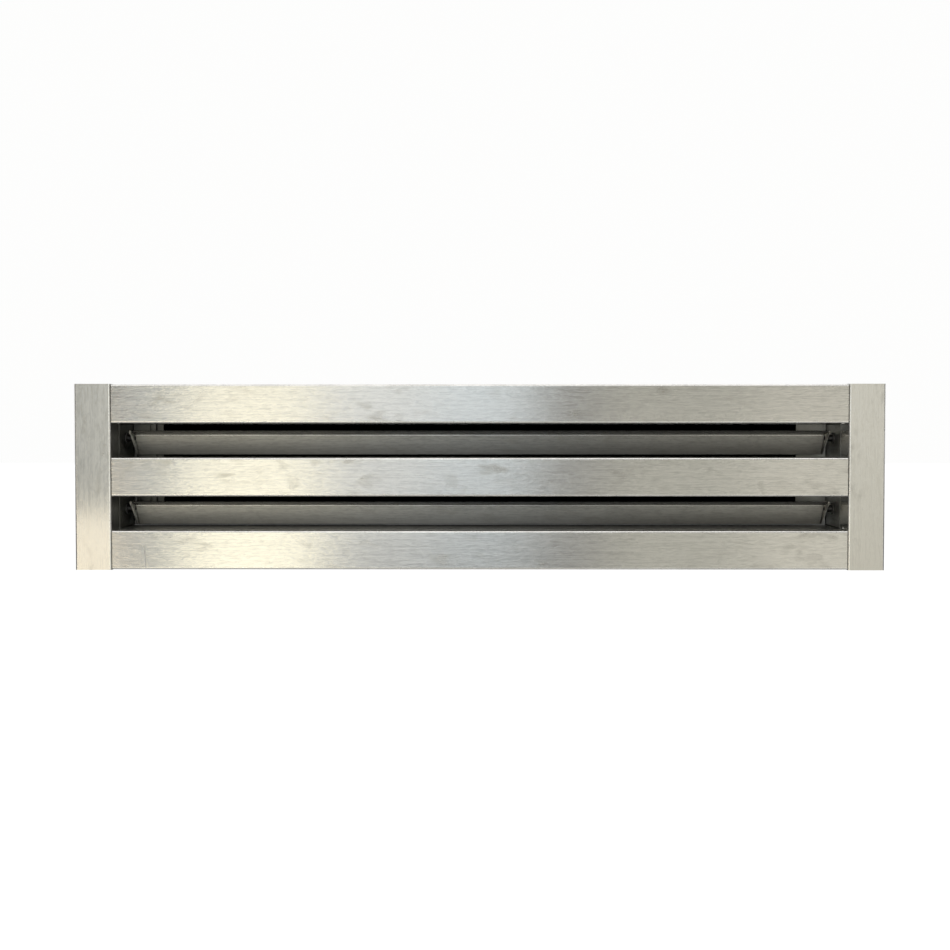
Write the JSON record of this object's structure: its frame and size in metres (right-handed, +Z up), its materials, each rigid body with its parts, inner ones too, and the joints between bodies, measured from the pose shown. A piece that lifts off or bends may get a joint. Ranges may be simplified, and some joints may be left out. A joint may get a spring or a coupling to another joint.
{
  "type": "louvred air grille",
  "caption": "Wide steel air grille: a welded square tube frame with a shallow sleeve behind it and linked, sloping louvre blades that pivot to open or close it.",
  "frame": {"origin": "centre of the wall opening, on the plane where the frame's back rests on the wall", "axes": "+X to the right seen from the front, along the blades; +Y into the wall; +Z up. The front faces -Y"},
  "size_m": [0.52, 0.0578, 0.1196],
  "materials": {
    "frame_steel": "brushed along each tube, clean grey with a warm tone",
    "sleeve_steel": "mill finish sheet, darker than the frame",
    "blade_steel": "brushed along the blade",
    "pin_steel": "turned, fairly bright",
    "bush_nylon": "grey nylon"
  },
  "bodies": {
    "frame": {"top_bar": "frame_steel", "middle_bar": "frame_steel", "bottom_bar": "frame_steel", "left_post": "frame_steel", "right_post": "frame_steel", "left_post_top_cap": "frame_steel", "left_post_bottom_cap": "frame_steel", "right_post_top_cap": "frame_steel", "right_post_bottom_cap": "frame_steel", "sleeve_top": "sleeve_steel", "sleeve_bottom": "sleeve_steel", "sleeve_left_side": "sleeve_steel", "sleeve_right_side": "sleeve_steel", "sleeve_seam_strip": "sleeve_steel", "upper_left_bush": "bush_nylon", "upper_right_bush": "bush_nylon", "lower_left_bush": "bush_nylon", "lower_right_bush": "bush_nylon"},
    "upper_louvre": {"upper_blade": "blade_steel", "upper_blade_left_end": "blade_steel", "upper_blade_right_end": "blade_steel", "upper_left_pivot_pin": "pin_steel", "upper_right_pivot_pin": "pin_steel", "upper_link_pin": "pin_steel"},
    "lower_louvre": {"lower_blade": "blade_steel", "lower_blade_left_end": "blade_steel", "lower_blade_right_end": "blade_steel", "lower_left_pivot_pin": "pin_steel", "lower_right_pivot_pin": "pin_steel", "lower_link_pin": "pin_steel"},
    "link": {"link_bar": "blade_steel"}
  },
  "joints": [
    {"name": "upper_louvre_pivot", "type": "hinge", "parent": "frame", "child": "upper_louvre", "pos_m": [0, 0.01648, 0.0249], "axis": [1, 0, 0], "range_deg": [-5, 52]},
    {"name": "lower_louvre_pivot", "type": "hinge", "parent": "frame", "child": "lower_louvre", "pos_m": [0, 0.01648, -0.0221], "axis": [1, 0, 0], "range_deg": [-5, 52]},
    {"name": "link_pivot", "type": "hinge", "parent": "upper_louvre", "child": "link", "pos_m": [-0.23265, 0.02933, 0.0179], "axis": [1, 0, 0], "range_deg": [-52, 5]}
  ],
  "couplings": [
    {"joint": "lower_louvre_pivot", "follows": "upper_louvre_pivot", "ratio": 1},
    {"joint": "link_pivot", "follows": "upper_louvre_pivot", "ratio": -1}
  ]
}
